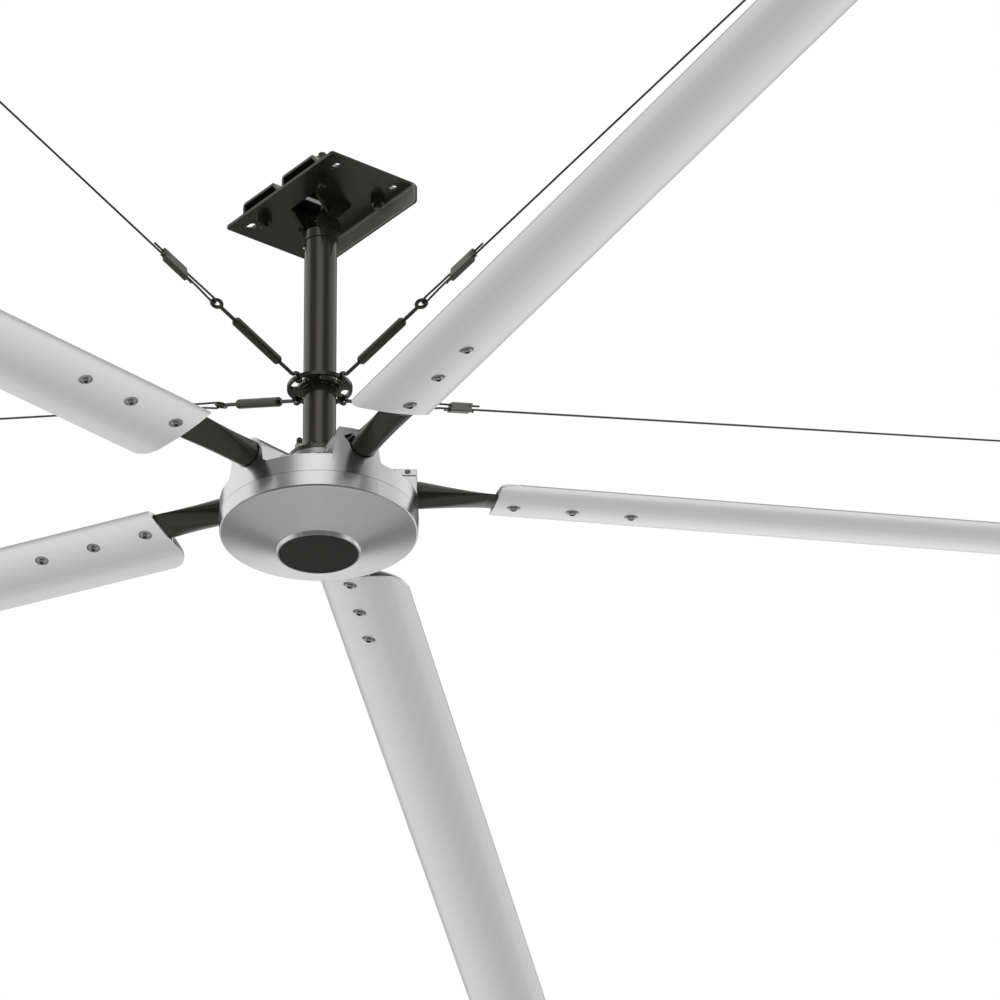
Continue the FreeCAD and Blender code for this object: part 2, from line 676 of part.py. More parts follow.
body = polygon_face([V(x, 0, z) for x, z in body_profile]).revolve(ORIGIN, X_AXIS, 360)
grip_points = [
    V(GRIP_START, -GRIP_THICKNESS / 2, -GRIP_HALF_WIDTH),
    V(GRIP_END - GRIP_SHEAR, -GRIP_THICKNESS / 2, -GRIP_HALF_WIDTH),
    V(GRIP_END, -GRIP_THICKNESS / 2, GRIP_HALF_WIDTH),
    V(GRIP_START + GRIP_SHEAR, -GRIP_THICKNESS / 2, GRIP_HALF_WIDTH),
]
grip = polygon_face(grip_points).extrude(V(0, GRIP_THICKNESS, 0))
grip = grip.makeFillet(GRIP_EDGE, [edge for edge in grip.Edges if abs(edge.CenterOfMass.y) > GRIP_EDGE])
grip_length = GRIP_END - GRIP_START
pin_start = GRIP_START - GRIP_PIN_REACH
pin = cylinder(GRIP_PIN_RADIUS, V(pin_start, 0, GRIP_PIN_Z), X_AXIS, GRIP_END - pin_start)
for x in (pin_start, GRIP_END - GRIP_PIN_HEAD):
    pin = pin.fuse(cylinder(GRIP_PIN_HEAD, V(x, 0, GRIP_PIN_Z), X_AXIS, GRIP_PIN_HEAD))
button_start = V(GRIP_END - GRIP_BUTTON_INSET, -GRIP_THICKNESS / 2 - GRIP_BUTTON_STANDOUT, GRIP_BUTTON_Z)
button_length = GRIP_THICKNESS + 2 * GRIP_BUTTON_STANDOUT
button = cylinder(GRIP_BUTTON_RADIUS, button_start, V(0, 1, 0), button_length)
grip = fused([grip, pin, button])
for z in (WIRE_MAIN_Z, WIRE_TAIL_Z):
    grip = grip.cut(cylinder(WIRE_RADIUS, V(GRIP_START - OVER, 0, z), X_AXIS, grip_length + 2 * OVER))
loop_x = EYE_CENTRE + EYE_RADIUS


def strand(z, far_x):
    """Strand from the loop round the eye to the grip and on: its edges from the far end to the loop."""
    side = 1 if z > 0 else -1
    bend_x = GRIP_START - WIRE_BEND_LEAD
    across = math.hypot(bend_x - loop_x, z)
    angle = math.atan2(abs(z), bend_x - loop_x) + math.acos(LOOP_RADIUS / across)
    leave = V(loop_x + LOOP_RADIUS * math.cos(angle), 0, side * LOOP_RADIUS * math.sin(angle))
    turn = math.atan2(abs(leave.z - z), bend_x - leave.x)
    step = WIRE_BEND_RADIUS * math.tan(turn / 2)
    outward = side if abs(leave.z) > abs(z) else -side
    far_touch = V(bend_x + step, 0, z)
    near_touch = V(bend_x - step * math.cos(turn), 0, z + outward * step * math.sin(turn))
    centre = far_touch + V(0, 0, outward * WIRE_BEND_RADIUS)
    bend_mid = centre + V(
        -WIRE_BEND_RADIUS * math.sin(turn / 2), 0, -outward * WIRE_BEND_RADIUS * math.cos(turn / 2)
    )
    edges = [
        line(V(far_x, 0, z), far_touch),
        arc(far_touch, bend_mid, near_touch),
        line(near_touch, leave),
    ]
    return edges, leave


def backwards(edge):
    """The same line or arc, from its end to its start."""
    first = edge.valueAt(edge.FirstParameter)
    last = edge.valueAt(edge.LastParameter)
    middle = edge.valueAt((edge.FirstParameter + edge.LastParameter) / 2)
    if isinstance(edge.Curve, Part.Line):
        return line(last, first)
    return arc(last, middle, first)


rise = math.cos(math.radians(GUY_RISE))
hooks = []
eyes = []
for number in range(len(GUY_REACH)):
    wire_end = (GUY_REACH[number] - bar_distance - hook_seat) / rise
    tail_edges, tail_leave = strand(WIRE_TAIL_Z, WIRE_TAIL_END)
    main_edges, main_leave = strand(WIRE_MAIN_Z, wire_end)
    loop = arc(tail_leave, V(loop_x - LOOP_RADIUS, 0, 0), main_leave)
    wire_edges = tail_edges + [loop] + [backwards(edge) for edge in reversed(main_edges)]
    wire = swept(wire_edges, WIRE_RADIUS)
    wire_length = sum(edge.Length for edge in wire_edges)
    section_volume = math.pi * WIRE_RADIUS ** 2 * wire_length
    print("guy wire", number + 1, "length", round(wire_length, 1), "loop radius", LOOP_RADIUS)
    print("volume over section times length", round(wire.Volume / section_volume, 4))
    save("guy_wire_%d" % (number + 1), along_wire(wire, number))
    save("wire_grip_%d" % (number + 1), along_wire(grip, number))
    save("turnbuckle_%d" % (number + 1), along_wire(body, number))
    ferrule_start = V(wire_end - FERRULE_LENGTH, 0, WIRE_MAIN_Z)
    ferrule = cylinder(FERRULE_RADIUS, ferrule_start, X_AXIS, FERRULE_LENGTH + ROD_RADIUS)
    ferrule = ferrule.cut(cylinder(WIRE_RADIUS, ferrule_start, X_AXIS, FERRULE_LENGTH))
    end_centre = V(wire_end + ROD_RADIUS + END_EYE_RADIUS, 0, WIRE_MAIN_Z)
    end_eye = Part.makeTorus(END_EYE_RADIUS, ROD_RADIUS, end_centre, Z_AXIS)
    save("wire_end_%d" % (number + 1), along_wire(ferrule.fuse(end_eye), number))
    hooks.append(along_wire(hook, number))
    eyes.append(along_wire(eye, number))
save("turnbuckle_hooks", hooks)
save("turnbuckle_eyes", eyes)

# Motor shaft with its neck, stator core and coils
shaft = revolved(
    [
        (SHAFT_BORE, flange_bottom),
        (FLANGE_RADIUS, flange_bottom),
        (FLANGE_RADIUS, flange_bottom - FLANGE_THICKNESS),
        (SHAFT_NECK_RADIUS, flange_bottom - FLANGE_THICKNESS - SHAFT_NECK_TAPER),
        (SHAFT_NECK_RADIUS, UPPER_BEARING_TOP + SHAFT_NECK_FOOT),
        (SHAFT_SHOULDER_RADIUS, UPPER_BEARING_TOP + SHAFT_SHOULDER_GAP),
        (SHAFT_RADIUS, UPPER_BEARING_TOP + SHAFT_SHOULDER_GAP),
        (SHAFT_RADIUS, LOWER_BEARING_TOP + SHAFT_STEP),
        (SHAFT_END_RADIUS, LOWER_BEARING_TOP + SHAFT_STEP),
        (SHAFT_END_RADIUS, LOWER_BEARING_TOP - LOWER_BEARING_WIDTH - SHAFT_STEP),
        (SHAFT_BORE, LOWER_BEARING_TOP - LOWER_BEARING_WIDTH - SHAFT_STEP),
    ]
)
tapped = disc(FLANGE_BOLT_RADIUS, flange_bottom - FLANGE_TAP_DEPTH, flange_bottom + OVER)
tapped.translate(V(FLANGE_BOLT_CIRCLE, 0, 0))
shaft = shaft.cut([turned(tapped, a) for a in flange_azimuths])
save("motor_shaft", shaft)
inner_wall = HUB_RADIUS - HUB_WALL
magnet_outer = inner_wall - MAGNET_INSET
magnet_inner = magnet_outer - MAGNET_THICKNESS
core_radius = magnet_inner - AIR_GAP
coil_half = TOOTH_WIDTH / 2
tip_start = core_radius - TOOTH_TIP_HEIGHT
tooth_start = CORE_HUB_RADIUS - TOOTH_TIP_HEIGHT
tooth = box(tooth_start, tip_start + OVER, -coil_half, coil_half, CORE_BOTTOM, CORE_TOP)
tooth_tip = box(tip_start, core_radius + OVER, -TOOTH_WIDTH, TOOTH_WIDTH, CORE_BOTTOM, CORE_TOP)
tooth = tooth.fuse(tooth_tip).common(disc(core_radius, CORE_BOTTOM, CORE_TOP))
core = disc(CORE_HUB_RADIUS, CORE_BOTTOM, CORE_TOP)
core = fused([core] + [turned(tooth, 360.0 * i / TOOTH_COUNT) for i in range(TOOTH_COUNT)])
core = core.cut(disc(SHAFT_RADIUS, CORE_BOTTOM - OVER, CORE_TOP + OVER))
save("stator_core", core)
coil_start = CORE_HUB_RADIUS + COIL_END_GAP
coil_end = core_radius - COIL_END_GAP
coil_side = coil_half + COIL_BUILD
coil = box(coil_start, coil_end, -coil_side, coil_side, CORE_BOTTOM - COIL_HEIGHT, CORE_TOP + COIL_HEIGHT)
long_edges = [edge for edge in coil.Edges if abs(edge.tangentAt(edge.FirstParameter).x) > 0.9]
coil = coil.makeFillet(COIL_CORNER, long_edges)
coil = coil.cut(box(coil_start - OVER, coil_end + OVER, -coil_half, coil_half, CORE_BOTTOM, CORE_TOP))
save("stator_coils", [turned(coil, 360.0 * i / TOOTH_COUNT) for i in range(TOOTH_COUNT)])


def bearing(inner, outer, z_top, width):
    """Ball bearing with recessed shields."""
    z_low = z_top - width
    step = BEARING_RACE_SHARE * (outer - inner)
    return revolved(
        [
            (inner, z_low),
            (inner + step, z_low),
            (inner + step, z_low + SHIELD_RECESS),
            (outer - step, z_low + SHIELD_RECESS),
            (outer - step, z_low),
            (outer, z_low),
            (outer, z_top),
            (outer - step, z_top),
            (outer - step, z_top - SHIELD_RECESS),
            (inner + step, z_top - SHIELD_RECESS),
            (inner + step, z_top),
            (inner, z_top),
        ]
    )


upper_bore = SHAFT_RADIUS + BEARING_CLEARANCE
lower_bore = SHAFT_END_RADIUS + BEARING_CLEARANCE
save("upper_bearing", bearing(upper_bore, UPPER_BEARING_RADIUS, UPPER_BEARING_TOP, UPPER_BEARING_WIDTH))
save("lower_bearing", bearing(lower_bore, LOWER_BEARING_RADIUS, LOWER_BEARING_TOP, LOWER_BEARING_WIDTH))
magnet_low = CORE_BOTTOM - MAGNET_OVERHANG
magnet_high = CORE_TOP + MAGNET_OVERHANG
magnet = disc(magnet_outer, magnet_low, magnet_high)
magnet = magnet.cut(disc(magnet_inner, magnet_low - OVER, magnet_high + OVER))
save("magnet_ring", magnet)

# Hub casting: drum with deck and bearing seat, five lugs with arm sockets
azimuths = [BLADE_AZIMUTH + 360.0 * i / BLADE_COUNT for i in range(BLADE_COUNT)]
lug_inner = HUB_RADIUS - LUG_DEPTH
socket_inner = HUB_RADIUS - SOCKET_DEPTH
seat_low = UPPER_BEARING_TOP - UPPER_BEARING_WIDTH
seat_floor = seat_low - UPPER_SEAT_FLOOR
seat_outer = UPPER_BEARING_RADIUS + UPPER_SEAT_WALL
deck = revolved(
    [
        (UPPER_BEARING_RADIUS, seat_low),
        (UPPER_BEARING_RADIUS, UPPER_BEARING_TOP),
        (seat_outer, UPPER_BEARING_TOP),
        (seat_outer + UPPER_SEAT_BLEND, DECK_TOP),
        (inner_wall + OVER, DECK_TOP),
        (inner_wall + OVER, DECK_BOTTOM),
        (seat_outer + UPPER_SEAT_DRAFT, DECK_BOTTOM),
        (seat_outer, seat_floor),
        (UPPER_BEARING_RADIUS - UPPER_SEAT_LEDGE, seat_floor),
        (UPPER_BEARING_RADIUS - UPPER_SEAT_LEDGE, seat_low),
    ]
)
hub_slope = math.tan(math.radians(HUB_DRAFT))
lug_top_radius = HUB_RADIUS - hub_slope * (LUG_TOP - HUB_SEAM)
hub_form = Part.makeCone(HUB_RADIUS, lug_top_radius, LUG_TOP - HUB_SEAM, V(0, 0, HUB_SEAM), Z_AXIS)
drum = hub_form.common(disc(HUB_RADIUS, HUB_SEAM, HUB_TOP))
top_edge = [edge for edge in drum.Edges if edge.isClosed() and abs(edge.CenterOfMass.z - HUB_TOP) < 0.01]
drum = drum.makeFillet(DRUM_EDGE, top_edge)
drum = drum.cut(disc(inner_wall, HUB_SEAM - OVER, HUB_TOP + OVER))

# Leading side of a lug: a wall round the socket, seen along the arm
foot_low = DECK_BOTTOM + LUG_ROOT
foot_mid = LUG_FOOT_RADIUS * (1 - math.sqrt(0.5))
wall_top = math.sqrt(LUG_WALL_RADIUS ** 2 - (LUG_TOP - ARM_Z) ** 2)
wall_half = math.asin((LUG_TOP - ARM_Z) / LUG_WALL_RADIUS) / 2
lead_rise = V(0, LUG_LEADING_FOOT, HUB_TOP + LUG_FOOT_RADIUS)
lead_foot = V(0, LUG_LEADING_FOOT + LUG_FOOT_RADIUS, HUB_TOP)
lead_foot_mid = V(0, LUG_LEADING_FOOT + foot_mid, HUB_TOP + foot_mid)
wall_end = V(0, LUG_WALL_RADIUS, ARM_Z)
wall_mid = V(0, LUG_WALL_RADIUS * math.cos(wall_half), ARM_Z + LUG_WALL_RADIUS * math.sin(wall_half))
leading_wire = Part.Wire(
    [
        line(V(0, -LUG_WALL_RADIUS, foot_low), V(0, lead_foot.y, foot_low)),
        line(V(0, lead_foot.y, foot_low), lead_foot),
        arc(lead_foot, lead_foot_mid, lead_rise),
        line(lead_rise, wall_end),
        arc(wall_end, wall_mid, V(0, wall_top, LUG_TOP)),
        line(V(0, wall_top, LUG_TOP), V(0, -LUG_WALL_RADIUS, LUG_TOP)),
        line(V(0, -LUG_WALL_RADIUS, LUG_TOP), V(0, -LUG_WALL_RADIUS, foot_low)),
    ]
)
lug_length = LUG_DEPTH + OVER
leading = Part.Face(leading_wire).extrude(V(lug_length, 0, 0)).translated(V(lug_inner, 0, 0))

# Trailing side of a lug: a block that leans outward to its foot and narrows towards the hub's axis
flank_slope = (LUG_TRAILING_FOOT - LUG_TRAILING_TOP) / (LUG_TOP - HUB_TOP)


def trailing_outline(z):
    outer = -LUG_TRAILING_TOP - flank_slope * (LUG_TOP - z)
    inner = outer + LUG_TAPER * lug_length
    lug_outer = lug_inner + lug_length
    points = [(lug_inner, 0), (lug_inner, inner), (lug_outer, outer), (lug_outer, 0)]
    return Part.makePolygon([V(x, y, z) for x, y in points + points[:1]])


trailing = Part.makeLoft([trailing_outline(foot_low), trailing_outline(LUG_TOP)], True, True)
top_edges = [
    edge
    for edge in trailing.Edges
    if abs(edge.CenterOfMass.z - LUG_TOP) < 0.01 and edge.CenterOfMass.y < -LUG_TRAILING_TOP / 2
    and edge.Length > LUG_DEPTH
]
trailing = trailing.makeFillet(LUG_CORNER, top_edges)
step_end = HUB_RADIUS - LUG_STEP_INSET
step = box(lug_inner - OVER, step_end, -2 * LUG_TRAILING_FOOT, 0, foot_low - OVER, LUG_STEP_Z)
step = step.cut(trailing.translated(V(0, LUG_STEP_DEPTH, 0)))
lug = fused([leading, trailing.cut(step)]).common(hub_form)
cover_screw_circle = HUB_RADIUS - COVER_SCREW_INSET
screw_azimuths = [a + angle for a in azimuths for angle in COVER_SCREW_ANGLES]
boss_foot = V(cover_screw_circle, 0, DECK_BOTTOM)
boss = cylinder(COVER_SCREW_BOSS, boss_foot, Z_AXIS, HUB_TOP - DECK_BOTTOM)
bosses = [turned(boss, a) for a in screw_azimuths]
casting = fused([drum, deck] + [turned(lug, a) for a in azimuths] + bosses)
reach = HUB_RADIUS + OVER
socket = cylinder(ARM_RADIUS, V(socket_inner, 0, ARM_Z), X_AXIS, reach - socket_inner)
mouth_start = HUB_RADIUS - SOCKET_MOUTH_DEPTH
socket = socket.fuse(cylinder(SOCKET_MOUTH_RADIUS, V(mouth_start, 0, ARM_Z), X_AXIS, reach - mouth_start))
notch_start = HUB_RADIUS - NOTCH_DEPTH
notch = polygon_face([V(notch_start, w, z) for w, z in NOTCH_OUTLINE]).extrude(V(reach - notch_start, 0, 0))
hole_start = V(HUB_RADIUS - LUG_HOLE_INSET, -LUG_TRAILING_FOOT, LUG_HOLE_Z)
hole_length = LUG_TRAILING_FOOT - LUG_TRAILING_TOP + LUG_HOLE_DEPTH
lug_hole = cylinder(LUG_HOLE_RADIUS, hole_start, V(0, 1, 0), hole_length)
arm_screw_distance = HUB_RADIUS - ARM_SCREW_INSET
arm_screw_foot = V(arm_screw_distance, 0, ARM_Z)
arm_screw_reach = LUG_TOP - ARM_Z + OVER
arm_screw_hole = cylinder(ARM_SCREW_RADIUS + SCREW_CLEARANCE, arm_screw_foot, Z_AXIS, arm_screw_reach)
arm_screw_length = LUG_TOP - ARM_Z - ARM_RADIUS + ARM_WALL + ARM_SCREW_TAIL
arm_screw = button_screw(
    ARM_SCREW_RADIUS, SCREW_HEAD_RADIUS, SCREW_HEAD_HEIGHT, arm_screw_length, SCREW_SOCKET
)
arm_screw.translate(V(arm_screw_distance, 0, LUG_TOP))
cover_screw_length = HUB_TOP - HUB_SEAM + COVER_SCREW_DEPTH
cover_screw = button_screw(
    COVER_SCREW_RADIUS,
    COVER_SCREW_HEAD_RADIUS,
    COVER_SCREW_HEAD_HEIGHT,
    cover_screw_length,
    COVER_SCREW_SOCKET,
)
cover_screw.translate(V(cover_screw_circle, 0, HUB_TOP))
screw_foot = V(cover_screw_circle, 0, HUB_TOP - cover_screw_length - OVER)
screw_reach = cover_screw_length + 2 * OVER
screw_hole = cylinder(COVER_SCREW_RADIUS + SCREW_CLEARANCE, screw_foot, Z_AXIS, screw_reach)
cover_thread = cylinder(COVER_SCREW_RADIUS, screw_foot, Z_AXIS, screw_reach)
cuts = [turned(screw_hole, a) for a in screw_azimuths]
for azimuth in azimuths:
    cuts += [turned(tool, azimuth) for tool in (socket, notch, lug_hole, arm_screw_hole)]
arm_screws = [turned(arm_screw, a) for a in azimuths]
cover_screws = [turned(cover_screw, a) for a in screw_azimuths]
cover_threads = [turned(cover_thread, a) for a in screw_azimuths]
casting = casting.cut(cuts)
save("hub_casting", casting)
save("arm_screws", arm_screws)
save("cover_screws", cover_screws)

# Bottom cover: spigot, rounded edge, shallow cone, nose with the badge recess
edge_radius = HUB_RADIUS - hub_slope * (HUB_SEAM - COVER_EDGE_Z)
edge_centre = edge_radius - COVER_EDGE_RADIUS
cone_drop = COVER_EDGE_Z - COVER_EDGE_RADIUS - COVER_NOSE_Z
cone_angle = math.atan2(cone_drop, edge_centre - COVER_NOSE_RADIUS)


def on_cover_edge(angle):
    """Point of the rounded edge, at an angle below the level."""
    across = COVER_EDGE_RADIUS * math.cos(angle)
    down = COVER_EDGE_RADIUS * math.sin(angle)
    return V(edge_centre + across, 0, COVER_EDGE_Z - down)


edge_end = on_cover_edge(math.pi / 2 - cone_angle)
edge_mid = on_cover_edge((math.pi / 2 - cone_angle) / 2)
cone_slope = (edge_end.z - COVER_NOSE_Z) / (edge_end.x - COVER_NOSE_RADIUS)
inner_lift = COVER_WALL / math.cos(math.atan(cone_slope))
nose_low = COVER_NOSE_Z - NOSE_DEPTH
badge_seat = nose_low + BADGE_RECESS
rib_inner = magnet_outer
rib_outer = magnet_outer + MAGNET_RIB_WALL
rib_top = CORE_TOP + MAGNET_RIB_RISE
spigot_inner = inner_wall - SPIGOT_WALL
spigot_top = DECK_BOTTOM - SPIGOT_GAP
seat_wall = LOWER_BEARING_RADIUS + LOWER_SEAT_WALL
seat_ledge = LOWER_BEARING_RADIUS - LOWER_SEAT_LEDGE
nose_inside = badge_seat + NOSE_WALL
badge_room = BADGE_RADIUS + BADGE_GAP
lower_bearing_floor = LOWER_BEARING_TOP - LOWER_BEARING_WIDTH


def cone_inside(radius):
    return COVER_NOSE_Z + inner_lift + cone_slope * (radius - COVER_NOSE_RADIUS)


cover_outline = [
    V(HUB_RADIUS, 0, HUB_SEAM - SEAM_GAP),
    V(inner_wall, 0, HUB_SEAM - SEAM_GAP),
    V(inner_wall, 0, spigot_top),
    V(spigot_inner, 0, spigot_top),
    V(spigot_inner, 0, cone_inside(spigot_inner)),
    V(rib_outer, 0, cone_inside(rib_outer)),
    V(rib_outer, 0, rib_top),
    V(rib_inner, 0, rib_top),
    V(rib_inner, 0, cone_inside(rib_inner)),
    V(COVER_NOSE_RADIUS, 0, cone_inside(COVER_NOSE_RADIUS)),
    V(seat_wall, 0, cone_inside(COVER_NOSE_RADIUS)),
    V(seat_wall, 0, LOWER_BEARING_TOP),
    V(LOWER_BEARING_RADIUS, 0, LOWER_BEARING_TOP),
    V(LOWER_BEARING_RADIUS, 0, lower_bearing_floor),
    V(seat_ledge, 0, lower_bearing_floor),
    V(seat_ledge, 0, nose_inside),
    V(0, 0, nose_inside),
    V(0, 0, badge_seat),
    V(badge_room, 0, badge_seat),
    V(badge_room, 0, nose_low),
    V(COVER_NOSE_RADIUS - NOSE_TAPER, 0, nose_low),
    V(COVER_NOSE_RADIUS, 0, COVER_NOSE_Z),
    edge_end,
]
cover_edges = [line(a, b) for a, b in zip(cover_outline[:-1], cover_outline[1:])]
edge_top = V(edge_radius, 0, COVER_EDGE_Z)
cover_edges.append(arc(edge_end, edge_mid, edge_top))
cover_edges.append(line(edge_top, cover_outline[0]))
cover = Part.Face(Part.Wire(cover_edges)).revolve(ORIGIN, Z_AXIS, 360)
cover = cover.cut(cover_threads)
save("bottom_cover", cover)
badge_low = badge_seat - BADGE_THICKNESS
badge = disc(BADGE_RADIUS, badge_low, badge_seat)
badge_rim = [edge for edge in badge.Edges if edge.isClosed() and abs(edge.CenterOfMass.z - badge_low) < 0.01]
badge = badge.makeChamfer(BADGE_CHAMFER, badge_rim)
save("badge_disc", badge)


# Arms and blades are built with s on X, t on Y and the distance from the hub axis on Z
def onto_arm(shape, azimuth):
    copy = shape.copy()
    copy.rotate(ORIGIN, V(1, 1, 1), 120)
    copy.rotate(ORIGIN, X_AXIS, BLADE_PITCH)
    copy.translate(V(0, 0, ARM_Z))
    copy.rotate(ORIGIN, Z_AXIS, azimuth)
    return copy


def oval(half_width, half_height, distance):
    centre = V(0, 0, distance)
    curve = Part.Ellipse(V(half_width, 0, distance), V(0, half_height, distance), centre)
    return Part.Wire(curve.toShape())


def arm_body(shrink):
    radius = ARM_RADIUS - shrink
    half_width = ARM_FLAT_HALF_WIDTH - shrink
    half_height = ARM_FLAT_HALF_HEIGHT - shrink
    over = OVER if shrink else 0.0
    round_part = cylinder(radius, V(0, 0, socket_inner - over), Z_AXIS, ARM_ROUND_END - socket_inner + over)
    start = Part.Wire(Part.makeCircle(radius, V(0, 0, ARM_ROUND_END), Z_AXIS))
    middle = (ARM_ROUND_END + ARM_FLAT_START) / 2
    between = oval((radius + half_width) / 2, (radius + half_height) / 2, middle)
    end = oval(half_width, half_height, ARM_FLAT_START)
    change = Part.makeLoft([start, between, end], True, False)
    flat = Part.Face(end).extrude(V(0, 0, ARM_END - ARM_FLAT_START + over))
    return round_part.fuse(change).fuse(flat)


bolt_distances = [BLADE_BOLT_FIRST + BLADE_BOLT_PITCH * i for i in range(3)]
arm = arm_body(0).cut(arm_body(ARM_WALL))
for distance in bolt_distances:
    arm = arm.cut(cylinder(BLADE_BOLT_RADIUS, V(0, -ARM_RADIUS, distance), V(0, 1, 0), 2 * ARM_RADIUS))

lower_start = V(TRAILING_EDGE + TRAILING_NOSE, CHORD_T - TRAILING_NOSE, 0)
lower_end = V(LEADING_EDGE - LEADING_NOSE, CHORD_T - LEADING_NOSE, 0)
upper_start = V(LEADING_EDGE - LEADING_NOSE, CHORD_T + LEADING_NOSE, 0)
upper_end = V(TRAILING_EDGE + TRAILING_NOSE, CHORD_T + TRAILING_NOSE, 0)
crest = V(CREST_S, CHORD_T + CREST_HEIGHT, 0)
tail_start = V(TAIL_START_S, CHORD_T - TAIL_START_DROP, 0)


def crest_arc(end):
    """Arc from an edge of the blade to its crest, level at the crest."""
    across = end.x - crest.x
    down = crest.y - end.y
    radius = (across ** 2 + down ** 2) / (2 * down)
    angle = math.asin(across / radius) / 2
    middle = V(crest.x + radius * math.sin(angle), crest.y - radius + radius * math.cos(angle), 0)
    return arc(end, middle, crest)


def bent_arc(start, end, bend):
    """Arc that leaves its chord by an angle, below the chord where the angle is positive."""
    run = end - start
    below = V(run.y, -run.x, 0).normalize()
    return arc(start, (start + end) * 0.5 + below * (math.tan(bend / 2) * run.Length / 2), end)


def chord_angle(start, end):
    return math.atan2(end.y - start.y, end.x - start.x)


# The underside is hollow along the tail and full under the arm, smooth where the two meet
tail_angle = math.radians(TAIL_START_ANGLE)
tail_bend = -tail_angle - chord_angle(lower_start, tail_start)
belly_bend = tail_angle + chord_angle(tail_start, lower_end)
section_wire = Part.Wire(
    [
        bent_arc(lower_start, tail_start, tail_bend),
        bent_arc(tail_start, lower_end, belly_bend),
        arc(lower_end, V(LEADING_EDGE, CHORD_T, 0), upper_start),
        crest_arc(upper_start),
        crest_arc(upper_end),
        arc(upper_end, V(TRAILING_EDGE, CHORD_T, 0), lower_start),
    ]
)
section = Part.Face(section_wire)
hollow = section.makeOffset2D(-BLADE_WALL)
floor_t = -ARM_FLAT_HALF_HEIGHT
chord = LEADING_EDGE - TRAILING_EDGE
channel_room = polygon_face(
    [
        V(-CHANNEL_HALF, floor_t, 0),
        V(CHANNEL_HALF, floor_t, 0),
        V(CHANNEL_HALF, chord, 0),
        V(-CHANNEL_HALF, chord, 0),
    ]
)
rear_end = -CHANNEL_HALF - WEB_THICKNESS
rear_room = polygon_face(
    [
        V(TRAILING_EDGE, -chord, 0),
        V(rear_end, -chord, 0),
        V(rear_end, chord, 0),
        V(TRAILING_EDGE, chord, 0),
    ]
)
channel = hollow.common(channel_room)
rear = hollow.common(rear_room)
blade_end = BLADE_TIP - CAP_THICKNESS
blade_length = blade_end - BLADE_ROOT
blade = section.extrude(V(0, 0, blade_length))
for room in (channel, rear):
    blade = blade.cut(room.extrude(V(0, 0, blade_length)))
blade.translate(V(0, 0, BLADE_ROOT))


def root_corner(edge, radius, side):
    """Tool that rounds one corner of the blade's root end."""
    near = min(edge + side * OVER, edge - side * radius)
    far = max(edge + side * OVER, edge - side * radius)
    block = box(near, far, -chord, chord, BLADE_ROOT - OVER, BLADE_ROOT + radius)
    centre = V(edge - side * radius, -chord - OVER, BLADE_ROOT + radius)
    return block.cut(cylinder(radius, centre, V(0, 1, 0), 2 * (chord + OVER)))


blade = blade.cut(root_corner(LEADING_EDGE, ROOT_CORNER_LEADING, 1))
blade = blade.cut(root_corner(TRAILING_EDGE, ROOT_CORNER_TRAILING, -1))
bolt = button_screw(
    BLADE_BOLT_RADIUS,
    BLADE_BOLT_DOME_RADIUS,
    BLADE_BOLT_DOME_HEIGHT,
    ARM_FLAT_HALF_HEIGHT - BLADE_BOLT_SEAT + BLADE_BOLT_TAIL,
    BLADE_BOLT_SOCKET,
)
bolt_collar = revolved(
    [
        (BLADE_BOLT_RADIUS, 0),
        (BLADE_BOLT_HEAD, 0),
        (BLADE_BOLT_HEAD, BLADE_BOLT_COLLAR_EDGE),
        (BLADE_BOLT_DOME_RADIUS, BLADE_BOLT_COLLAR),
        (BLADE_BOLT_RADIUS, BLADE_BOLT_COLLAR),
    ]
)
bolt = bolt.fuse(bolt_collar).removeSplitter()
bolt.rotate(ORIGIN, X_AXIS, 90)
blade_bolts = []
for distance in bolt_distances:
    seat = V(0, BLADE_BOLT_SEAT, distance)
    head_room = cylinder(BLADE_BOLT_HEAD + SCREW_CLEARANCE, seat, V(0, -1, 0), ARM_RADIUS)
    shank_length = floor_t - BLADE_BOLT_SEAT + OVER
    shank_room = cylinder(BLADE_BOLT_RADIUS + SCREW_CLEARANCE, seat, V(0, 1, 0), shank_length)
    blade = blade.cut([head_room, shank_room])
    blade_bolts.append(bolt.translated(seat))
cap = section.extrude(V(0, 0, CAP_THICKNESS))
cap = cap.fuse(rear.extrude(V(0, 0, -CAP_PLUG))).removeSplitter()
cap.translate(V(0, 0, blade_end))
all_bolts = []
caps = []
arm_screw_thread = cylinder(ARM_SCREW_RADIUS, arm_screw_foot, Z_AXIS, arm_screw_reach)
for number, azimuth in enumerate(azimuths):
    placed_arm = onto_arm(arm, azimuth).cut(turned(arm_screw_thread, azimuth))
    save("blade_arm_%d" % (number + 1), placed_arm)
    save("blade_%d" % (number + 1), onto_arm(blade, azimuth))
    all_bolts += [onto_arm(shape, azimuth) for shape in blade_bolts]
    caps.append(onto_arm(cap, azimuth))
save("blade_bolts", all_bolts)
save("tip_caps", caps)
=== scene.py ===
import math

import bpy
from mathutils import Matrix, Vector


